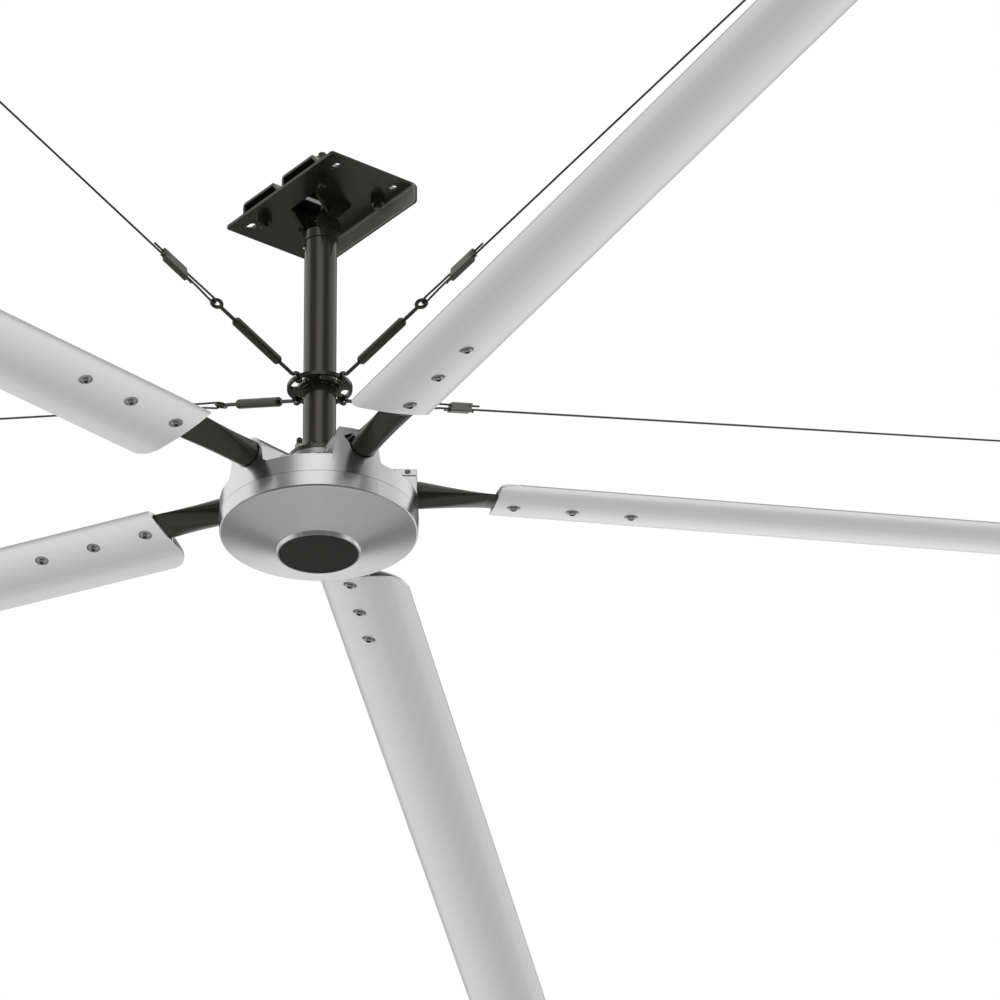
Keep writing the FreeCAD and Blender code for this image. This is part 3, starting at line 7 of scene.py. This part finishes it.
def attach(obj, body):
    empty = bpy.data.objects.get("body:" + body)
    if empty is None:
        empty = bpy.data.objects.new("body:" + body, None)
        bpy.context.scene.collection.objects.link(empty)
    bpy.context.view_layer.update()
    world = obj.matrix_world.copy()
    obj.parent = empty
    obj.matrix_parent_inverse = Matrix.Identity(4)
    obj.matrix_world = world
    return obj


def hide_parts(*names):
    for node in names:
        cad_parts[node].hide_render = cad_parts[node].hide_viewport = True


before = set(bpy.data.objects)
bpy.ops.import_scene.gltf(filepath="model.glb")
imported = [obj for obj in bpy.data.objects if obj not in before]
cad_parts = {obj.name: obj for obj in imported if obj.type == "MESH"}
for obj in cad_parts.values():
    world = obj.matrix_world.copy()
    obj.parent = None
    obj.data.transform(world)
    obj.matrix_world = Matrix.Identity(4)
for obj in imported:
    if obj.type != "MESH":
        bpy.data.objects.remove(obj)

scene = bpy.context.scene


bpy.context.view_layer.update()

# Camera: below the fan, in front of the plate's right end.
CAMERA_PLACE = Vector((6.7846, -4.9359, -5.1542))
CAMERA_RIGHT = Vector((0.610223, 0.792196, -0.006852))
CAMERA_UP = Vector((0.387962, -0.291280, 0.874433))
CAMERA_FORWARD = Vector((-0.690727, 0.536258, 0.485090))
CAMERA_LENS = 238.75
CAMERA_SENSOR = 36.0
CAMERA_NEAR = 0.5
CAMERA_FAR = 200.0

camera_data = bpy.data.cameras.new("camera")
camera_data.sensor_fit = "HORIZONTAL"
camera_data.sensor_width = CAMERA_SENSOR
camera_data.lens = CAMERA_LENS
camera_data.clip_start = CAMERA_NEAR
camera_data.clip_end = CAMERA_FAR
camera = bpy.data.objects.new("camera", camera_data)
scene.collection.objects.link(camera)
turn = Matrix((CAMERA_RIGHT, CAMERA_UP, -CAMERA_FORWARD)).transposed()
camera.matrix_world = Matrix.Translation(CAMERA_PLACE) @ turn.to_4x4()
scene.camera = camera


# Nodes that finishes and surroundings share.
def ramp(tree, factor, stops, interpolation):
    """Colour over a factor from 0 to 1, in stops of position and colour."""
    node = tree.nodes.new("ShaderNodeValToRGB")
    elements = node.color_ramp.elements
    node.color_ramp.interpolation = interpolation
    while len(elements) < len(stops):
        elements.new(0.5)
    for element, (position, colour) in zip(elements, stops):
        element.position = position
        element.color = (*colour, 1)
    tree.links.new(factor, node.inputs["Fac"])
    return node.outputs["Color"]


def along(tree, vector, axis):
    """How far a vector reaches along an axis."""
    node = tree.nodes.new("ShaderNodeVectorMath")
    node.operation = "DOT_PRODUCT"
    node.inputs[1].default_value = axis
    tree.links.new(vector, node.inputs[0])
    return node.outputs["Value"]


# Finishes: sizes in metres, tones as linear levels.
NOISE_ROUGHNESS = 0.55
NOISE_LOW = 0.3
NOISE_HIGH = 0.7
CLOUD_SCALE = 14.0
CLOUD_DETAIL = 4.0
GRAIN_SCALE = 1400.0
GRAIN_DETAIL = 2.0
GRAIN_HEIGHT = 0.0002
GRAIN_SMOOTHER = 0.04
GRAIN_ROUGHER = 0.05
WARM = (1.0, 0.97, 0.84, 1)

BLADE_AZIMUTH = math.radians(-9.8)
BLADE_STEP = math.radians(72)
BLADE_TRAILING = -0.088
BLADE_LEADING = 0.045
BLADE_METAL = 0.45
BLADE_ROUGH_LOW = 0.28
BLADE_ROUGH_HIGH = 0.36
BLADE_LINES = (3.0, 900.0, 900.0)
BLADE_LINE_SCALE = 1.0
BLADE_LINE_DETAIL = 3.0
BLADE_LINE_BUMP = 0.04
BLADE_LINE_HEIGHT = 0.0001
BLADE_TINT = (0.985, 1.0, 0.992)
# Painted shade and highlight across each blade's chord: paler near both edges, darker mid-chord and in
# thin lines at the very edges, standing in for the shading of a curved underside.
BLADE_PAINTED_SHADING = [
    (0.0, 0.50),
    (0.014, 0.88),
    (0.11, 0.84),
    (0.24, 0.72),
    (0.34, 0.68),
    (0.45, 0.70),
    (0.60, 0.78),
    (0.75, 0.87),
    (0.86, 0.93),
    (0.92, 0.95),
    (0.955, 0.89),
    (0.98, 0.72),
    (1.0, 0.58),
]

# Guy lines: bearing, rise and start of the four equal runs.
GUY_AZIMUTH = math.radians(8.24)
GUY_RISE = math.radians(19.7)
GUY_BAR = 0.046026
GUY_RING_Z = -0.3135
GUY_DROP = 0.002
GUY_STEP = math.pi / 2

GRIP_ROUGH = 0.20
GRIP_SHINE = 1.0
GRIP_HALF_WIDTH = 0.0072
# Painted shade: each grip is dark along its underside and lighter above.
GRIP_PAINTED_SHADE = [(0.0, 0.010), (0.08, 0.010), (0.15, 0.070), (0.95, 0.080)]

# Painted light: the inner face of the plate's turned-down edge is made paler than the rest of the dark
# coat.
LIP_START = 0.066
LIP_END = 0.078
LIP_PAINTED_LIGHT = [(0.0, 0.009), (0.5, 0.18), (0.65, 0.18), (0.8, 0.009)]
PLATE_TINT = (1.0, 0.98, 0.88)


class Shader:
    """A procedural surface on a principled shader, in the piece's own coordinates."""

    def __init__(self, name):
        self.material = bpy.data.materials.new(name)
        self.material.use_nodes = True
        self.tree = self.material.node_tree
        self.principled = self.tree.nodes["Principled BSDF"]
        self.coordinates = self.tree.nodes.new("ShaderNodeTexCoord").outputs["Object"]

    def set(self, **values):
        for key, value in values.items():
            self.principled.inputs[key.replace("_", " ")].default_value = value

    def link(self, output, socket):
        self.tree.links.new(output, self.principled.inputs[socket])

    def mapped(self, vector, setting, value):
        """A vector after one rotation or scale."""
        node = self.tree.nodes.new("ShaderNodeMapping")
        node.inputs[setting].default_value = value
        self.tree.links.new(vector, node.inputs["Vector"])
        return node.outputs["Vector"]

    def noise(self, vector, scale, detail):
        node = self.tree.nodes.new("ShaderNodeTexNoise")
        node.inputs["Scale"].default_value = scale
        node.inputs["Detail"].default_value = detail
        node.inputs["Roughness"].default_value = NOISE_ROUGHNESS
        self.tree.links.new(vector, node.inputs["Vector"])
        return node.outputs["Fac"]

    def clouded(self, scale, detail, low, high):
        """Base colour drifting between two colours."""
        stops = [(NOISE_LOW, low), (NOISE_HIGH, high)]
        drift = self.noise(self.coordinates, scale, detail)
        self.link(ramp(self.tree, drift, stops, "LINEAR"), "Base Color")

    def banded(self, factor, tint, levels):
        """Base colour in levels of one tint over a factor from 0 to 1."""
        stops = [(position, [level * part for part in tint]) for position, level in levels]
        self.link(ramp(self.tree, factor, stops, "EASE"), "Base Color")

    def share(self, axis, start, end):
        """Share of the way from start to end along an axis."""
        node = self.tree.nodes.new("ShaderNodeMapRange")
        node.inputs["From Min"].default_value = start
        node.inputs["From Max"].default_value = end
        self.tree.links.new(along(self.tree, self.coordinates, axis), node.inputs["Value"])
        return node.outputs["Result"]

    def between(self, factor, low, high):
        """A noise spread over the values from low to high."""
        node = self.tree.nodes.new("ShaderNodeMapRange")
        node.inputs["From Min"].default_value = NOISE_LOW
        node.inputs["From Max"].default_value = NOISE_HIGH
        node.inputs["To Min"].default_value = low
        node.inputs["To Max"].default_value = high
        self.tree.links.new(factor, node.inputs["Value"])
        return node.outputs["Result"]

    def bump(self, height, strength, distance):
        node = self.tree.nodes.new("ShaderNodeBump")
        node.inputs["Strength"].default_value = strength
        node.inputs["Distance"].default_value = distance
        self.tree.links.new(height, node.inputs["Height"])
        self.link(node.outputs["Normal"], "Normal")


def grained(shader, rough, bump=0.02, metallic=0.0, shine=0.5):
    """Fine grain in roughness and relief, with a warm gloss where the surface is a coating."""
    fine = shader.noise(shader.coordinates, GRAIN_SCALE, GRAIN_DETAIL)
    shader.link(shader.between(fine, rough - GRAIN_SMOOTHER, rough + GRAIN_ROUGHER), "Roughness")
    shader.bump(fine, bump, GRAIN_HEIGHT)
    shader.set(Metallic=metallic)
    if metallic == 0.0:
        shader.set(Specular_IOR_Level=shine, Specular_Tint=WARM)
    return shader.material


def coat(name, low, high, rough, **grain):
    """Coated or plain metal, clouded a little between two colours."""
    shader = Shader(name)
    shader.clouded(CLOUD_SCALE, CLOUD_DETAIL, low, high)
    return grained(shader, rough, **grain)


def plate_with_painted_lip_light(name, rough):
    """Dark coat, with painted light that makes the inner face of the plate's turned-down edge paler."""
    shader = Shader(name)
    shader.banded(shader.share((0, 1, 0), LIP_START, LIP_END), PLATE_TINT, LIP_PAINTED_LIGHT)
    return grained(shader, rough)


def grip_with_painted_shade(name, azimuth):
    """Grey cast body with painted shade: dark along its underside."""
    shader = Shader(name)
    lean = -math.sin(GUY_RISE)
    up = (lean * math.cos(azimuth), lean * math.sin(azimuth), math.cos(GUY_RISE))
    middle = GUY_RING_Z * math.cos(GUY_RISE) + GUY_BAR * lean - GUY_DROP
    share = shader.share(up, middle - GRIP_HALF_WIDTH, middle + GRIP_HALF_WIDTH)
    shader.banded(share, PLATE_TINT, GRIP_PAINTED_SHADE)
    return grained(shader, GRIP_ROUGH, shine=GRIP_SHINE)


def blade_satin_and_painted_shade(name, azimuth):
    """Satin extrusion: painted shade and highlight across the chord, and fine lines along the blade."""
    shader = Shader(name)
    across = (-math.sin(azimuth), math.cos(azimuth), 0)
    shader.banded(shader.share(across, BLADE_TRAILING, BLADE_LEADING), BLADE_TINT, BLADE_PAINTED_SHADING)
    turned = shader.mapped(shader.coordinates, "Rotation", (0, 0, -azimuth))
    stretched = shader.mapped(turned, "Scale", BLADE_LINES)
    lines = shader.noise(stretched, BLADE_LINE_SCALE, BLADE_LINE_DETAIL)
    shader.link(shader.between(lines, BLADE_ROUGH_LOW, BLADE_ROUGH_HIGH), "Roughness")
    shader.bump(lines, BLADE_LINE_BUMP, BLADE_LINE_HEIGHT)
    shader.set(Metallic=BLADE_METAL)
    return shader.material


tube_coat = coat("tube_coat", (0.0105, 0.0102, 0.0090), (0.0135, 0.0130, 0.0115), 0.14, shine=1.0)
arm_coat = coat("arm_coat", (0.0085, 0.0083, 0.0074), (0.0110, 0.0107, 0.0096), 0.15, shine=0.75)
# The plate's coat carries painted light on the inner face of its turned-down edge.
plate_coat_painted_lip_light = plate_with_painted_lip_light("plate_coat_painted_lip_light", 0.24)
dark_hardware = coat(
    "dark_hardware", (0.0060, 0.0059, 0.0054), (0.0085, 0.0083, 0.0076), 0.13, shine=0.8
)
# The grips carry painted shade along their undersides.
grip_coat_painted_shade = [grip_with_painted_shade("grip_coat_%d" % (n + 1), GUY_AZIMUTH + n * GUY_STEP) for n in range(4)]
wire_steel = coat("wire_steel", (0.022, 0.022, 0.021), (0.040, 0.040, 0.038), 0.34, metallic=0.4)
hub_aluminium = coat(
    "hub_aluminium", (0.77, 0.775, 0.78), (0.81, 0.815, 0.82), 0.20, bump=0.01, metallic=1.0
)
badge_black = coat(
    "badge_black", (0.006, 0.006, 0.006), (0.008, 0.008, 0.008), 0.24, bump=0.04, shine=0.4
)
bolt_zinc = coat("bolt_zinc", (0.46, 0.46, 0.45), (0.53, 0.53, 0.52), 0.11, metallic=1.0)
gland_black = coat("gland_black", (0.012, 0.012, 0.012), (0.018, 0.018, 0.018), 0.42)
motor_steel = coat("motor_steel", (0.38, 0.38, 0.38), (0.46, 0.46, 0.46), 0.30, metallic=1.0)
copper = coat("copper", (0.62, 0.30, 0.16), (0.72, 0.36, 0.20), 0.36, metallic=1.0)
gland_base = coat("gland_base", (0.60, 0.60, 0.59), (0.68, 0.68, 0.67), 0.30, metallic=0.8)
cap_silver = coat("cap_silver", (0.72, 0.724, 0.722), (0.78, 0.784, 0.782), 0.34, metallic=0.45)
# Each blade carries painted shade and highlight across its chord.
blade_silver_and_painted_shade = [
    blade_satin_and_painted_shade("blade_silver_%d" % (n + 1), BLADE_AZIMUTH + n * BLADE_STEP) for n in range(5)
]

FINISHES = {
    plate_coat_painted_lip_light: "mounting_plate",
    tube_coat: "hanger_yoke down_tube tube_flange",
    arm_coat: (
        "beam_clamp_1 beam_clamp_2 "
        "blade_arm_1 blade_arm_2 blade_arm_3 blade_arm_4 blade_arm_5"
    ),
    dark_hardware: (
        "clamp_studs clamp_nuts pivot_bolt pivot_nut flange_bolts guy_ring ring_screws turnbuckle_hooks "
        "turnbuckle_eyes turnbuckle_1 turnbuckle_2 turnbuckle_3 turnbuckle_4 "
        "wire_end_1 wire_end_2 wire_end_3 wire_end_4"
    ),
    hub_aluminium: "hub_casting bottom_cover",
    bolt_zinc: "blade_bolts cover_screws arm_screws",
    gland_black: "cable_gland",
    gland_base: "gland_base",
    motor_steel: "motor_shaft stator_core upper_bearing lower_bearing magnet_ring",
    copper: "stator_coils",
    badge_black: "badge_disc",
    wire_steel: "guy_wire_1 guy_wire_2 guy_wire_3 guy_wire_4",
    cap_silver: "tip_caps",
}
for number, material in enumerate(grip_coat_painted_shade, 1):
    FINISHES[material] = "wire_grip_%d" % number
for number, material in enumerate(blade_silver_and_painted_shade, 1):
    FINISHES[material] = "blade_%d" % number
for material, names in FINISHES.items():
    for name in names.split():
        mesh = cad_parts[name].data
        mesh.materials.clear()
        mesh.materials.append(material)

# Guy wires: each runs from its tail through the grip, round the eye and back out to the ceiling eye.
GUY_REACH = (0.900, 1.618, 0.757, 0.687)
WIRE_RADIUS = 0.0016
WIRE_TAIL_END = 0.306
WIRE_BEND = 0.233
WIRE_LOOP = 0.1752
WIRE_TAIL_HEIGHT = 0.0040
WIRE_MAIN_HEIGHT = -0.0012
WIRE_LOOP_HIGH = 0.00465
WIRE_LOOP_LOW = -0.0049
WIRE_NEAR = WIRE_LOOP + 12 * WIRE_RADIUS
WIRE_NEAR_HIGH = 0.00443
WIRE_NEAR_LOW = -0.00367
WIRE_SIDES = 4
WIRE_STEPS = 24


def guy_point(number, reach, height):
    """Place on a guy line, by the way along it and the height over it."""
    height -= GUY_DROP
    x = GUY_BAR + reach * math.cos(GUY_RISE) - height * math.sin(GUY_RISE)
    z = GUY_RING_Z + reach * math.sin(GUY_RISE) + height * math.cos(GUY_RISE)
    return Matrix.Rotation(GUY_AZIMUTH + number * GUY_STEP, 3, "Z") @ Vector((x, 0, z))


for number in range(4):
    wire_end = (GUY_REACH[number] - GUY_BAR) / math.cos(GUY_RISE)
    route = [
        guy_point(number, WIRE_TAIL_END, WIRE_TAIL_HEIGHT),
        guy_point(number, WIRE_BEND, WIRE_TAIL_HEIGHT),
        guy_point(number, WIRE_NEAR, WIRE_NEAR_HIGH),
        guy_point(number, WIRE_LOOP, WIRE_LOOP_HIGH),
        guy_point(number, WIRE_LOOP, WIRE_LOOP_LOW),
        guy_point(number, WIRE_NEAR, WIRE_NEAR_LOW),
        guy_point(number, WIRE_BEND, WIRE_MAIN_HEIGHT),
        guy_point(number, wire_end, WIRE_MAIN_HEIGHT),
    ]
    name = "wire_%d" % (number + 1)
    curve = bpy.data.curves.new(name, "CURVE")
    curve.dimensions = "3D"
    curve.bevel_depth = WIRE_RADIUS
    curve.bevel_resolution = WIRE_SIDES
    curve.use_fill_caps = True
    spline = curve.splines.new("NURBS")
    spline.points.add(len(route) - 1)
    for point, place in zip(spline.points, route):
        point.co = (*place, 1)
    spline.order_u = 3
    spline.use_endpoint_u = True
    spline.resolution_u = WIRE_STEPS
    curve.materials.append(wire_steel)
    wire = bpy.data.objects.new(name, curve)
    scene.collection.objects.link(wire)
    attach(wire, "hanger")
    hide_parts("guy_wire_%d" % (number + 1))

# Pale floor, far enough below to leave the view from below free.
FLOOR_Z = -25.0
FLOOR_REACH = 400.0
FLOOR_CLOUD = 0.8
FLOOR_DETAIL = 3.0
FLOOR_LOW = (0.875, 0.875, 0.875)
FLOOR_HIGH = (0.885, 0.885, 0.885)
FLOOR_ROUGH = 0.7

floor_mesh = bpy.data.meshes.new("floor")
floor_mesh.from_pydata(
    [(x * FLOOR_REACH, y * FLOOR_REACH, FLOOR_Z) for x, y in ((-1, -1), (1, -1), (1, 1), (-1, 1))],
    [],
    [(0, 1, 2, 3)],
)
floor = bpy.data.objects.new("floor", floor_mesh)
scene.collection.objects.link(floor)
floor.visible_glossy = False
floor.visible_diffuse = False
floor.visible_shadow = False
floor_shader = Shader("floor")
floor_shader.clouded(FLOOR_CLOUD, FLOOR_DETAIL, FLOOR_LOW, FLOOR_HIGH)
floor_shader.set(Roughness=FLOOR_ROUGH)
floor_mesh.materials.append(floor_shader.material)

# Surroundings: white to the camera, studio panels to metal, soft light to the rest.
world = bpy.data.worlds.new("studio")
world.use_nodes = True
scene.world = world
tree = world.node_tree
nodes = tree.nodes
background = nodes["Background"]
direction = nodes.new("ShaderNodeTexCoord").outputs["Generated"]


def math_node(operation, a, b=0.0):
    node = nodes.new("ShaderNodeMath")
    node.operation = operation
    for socket, value in zip(node.inputs, (a, b)):
        if isinstance(value, (int, float)):
            socket.default_value = value
        else:
            tree.links.new(value, socket)
    return node.outputs[0]


def tones(factor, levels):
    """Grey level over a factor from 0 to 1, in stops of position and level."""
    return ramp(tree, factor, [(position, (level,) * 3) for position, level in levels], "EASE")


def blended(factor, a, b):
    """Colour a where the factor is 0, b where it is 1."""
    node = nodes.new("ShaderNodeMix")
    node.data_type = "RGBA"
    for key, value in (("Factor_Float", factor), ("A_Color", a), ("B_Color", b)):
        socket = next(s for s in node.inputs if s.identifier == key)
        if isinstance(value, (int, float, tuple)):
            socket.default_value = value
        else:
            tree.links.new(value, socket)
    return next(s for s in node.outputs if s.identifier == "Result_Color")


def by_bearing(levels):
    """Tones round the horizon, in degrees from the studio's front."""
    return tones(bearing, [(0.5 + degrees / 360, level) for degrees, level in levels])


def by_height(levels):
    """Tones from straight down to straight up, in degrees over the horizon."""
    places = [(0.5 + 0.5 * math.sin(math.radians(degrees)), level) for degrees, level in levels]
    return tones(rise, places)


# The front of the studio lies on the side that the picture is taken from.
front_azimuth = math.atan2(CAMERA_PLACE.y, CAMERA_PLACE.x)
towards = along(tree, direction, (math.cos(front_azimuth), math.sin(front_azimuth), 0))
sideways = along(tree, direction, (-math.sin(front_azimuth), math.cos(front_azimuth), 0))
height = along(tree, direction, (0, 0, 1))
turn_share = math_node("DIVIDE", math_node("ARCTAN2", sideways, towards), 2 * math.pi)
bearing = math_node("ADD", turn_share, 0.5)
rise = math_node("ADD", math_node("MULTIPLY", height, 0.5), 0.5)

# Panels round the fan, above the horizon.
AROUND = [
    (-180, 0.08),
    (-150, 0.22),
    (-145, 0.92),
    (-88, 0.86),
    (-71, 0.22),
    (-40, 0.20),
    (-14, 0.88),
    (0, 0.92),
    (12, 0.80),
    (24, 0.24),
    (48, 0.16),
    (74, 0.60),
    (134, 0.88),
    (146, 0.16),
    (180, 0.08),
]

# Tones from below: all round, and on the front side.
UPWARD = [
    (-90, 0.50),
    (-60, 0.38),
    (-41, 0.36),
    (-30, 0.18),
    (-24, 0.21),
    (-7, 0.66),
    (0, 0.76),
    (90, 0.78),
]
FRONT = [
    (-90, 0.50),
    (-66, 0.36),
    (-50, 0.20),
    (-30, 0.08),
    (0, 0.10),
    (14, 0.35),
    (25, 0.80),
    (90, 0.80),
]

# Where each takes over: shares of the turn for the front, of the height for the others.
FRONT_SPAN = [(0.26, 0.0), (0.36, 1.0), (0.64, 1.0), (0.74, 0.0)]
PANEL_SPAN = [(0.587, 0.0), (0.671, 1.0)]
OVERHEAD_SPAN = [(0.0, 0.0), (0.80, 0.0), (0.93, 1.0)]
OVERHEAD = (0.75, 0.75, 0.75, 1)
SOFT = [(0.0, 1.0), (0.5, 0.94), (1.0, 0.86)]
WHITE = (1, 1, 1, 1)

below = blended(tones(bearing, FRONT_SPAN), by_height(UPWARD), by_height(FRONT))
above = blended(tones(rise, OVERHEAD_SPAN), by_bearing(AROUND), OVERHEAD)
panels = blended(tones(rise, PANEL_SPAN), below, above)
light_path = nodes.new("ShaderNodeLightPath").outputs
mirrored = math_node("ADD", light_path["Is Glossy Ray"], light_path["Is Transmission Ray"])
shown = blended(mirrored, tones(rise, SOFT), panels)
tree.links.new(blended(light_path["Is Camera Ray"], shown, WHITE), background.inputs["Color"])
background.inputs["Strength"].default_value = 1.0

scene.view_settings.view_transform = "Standard"
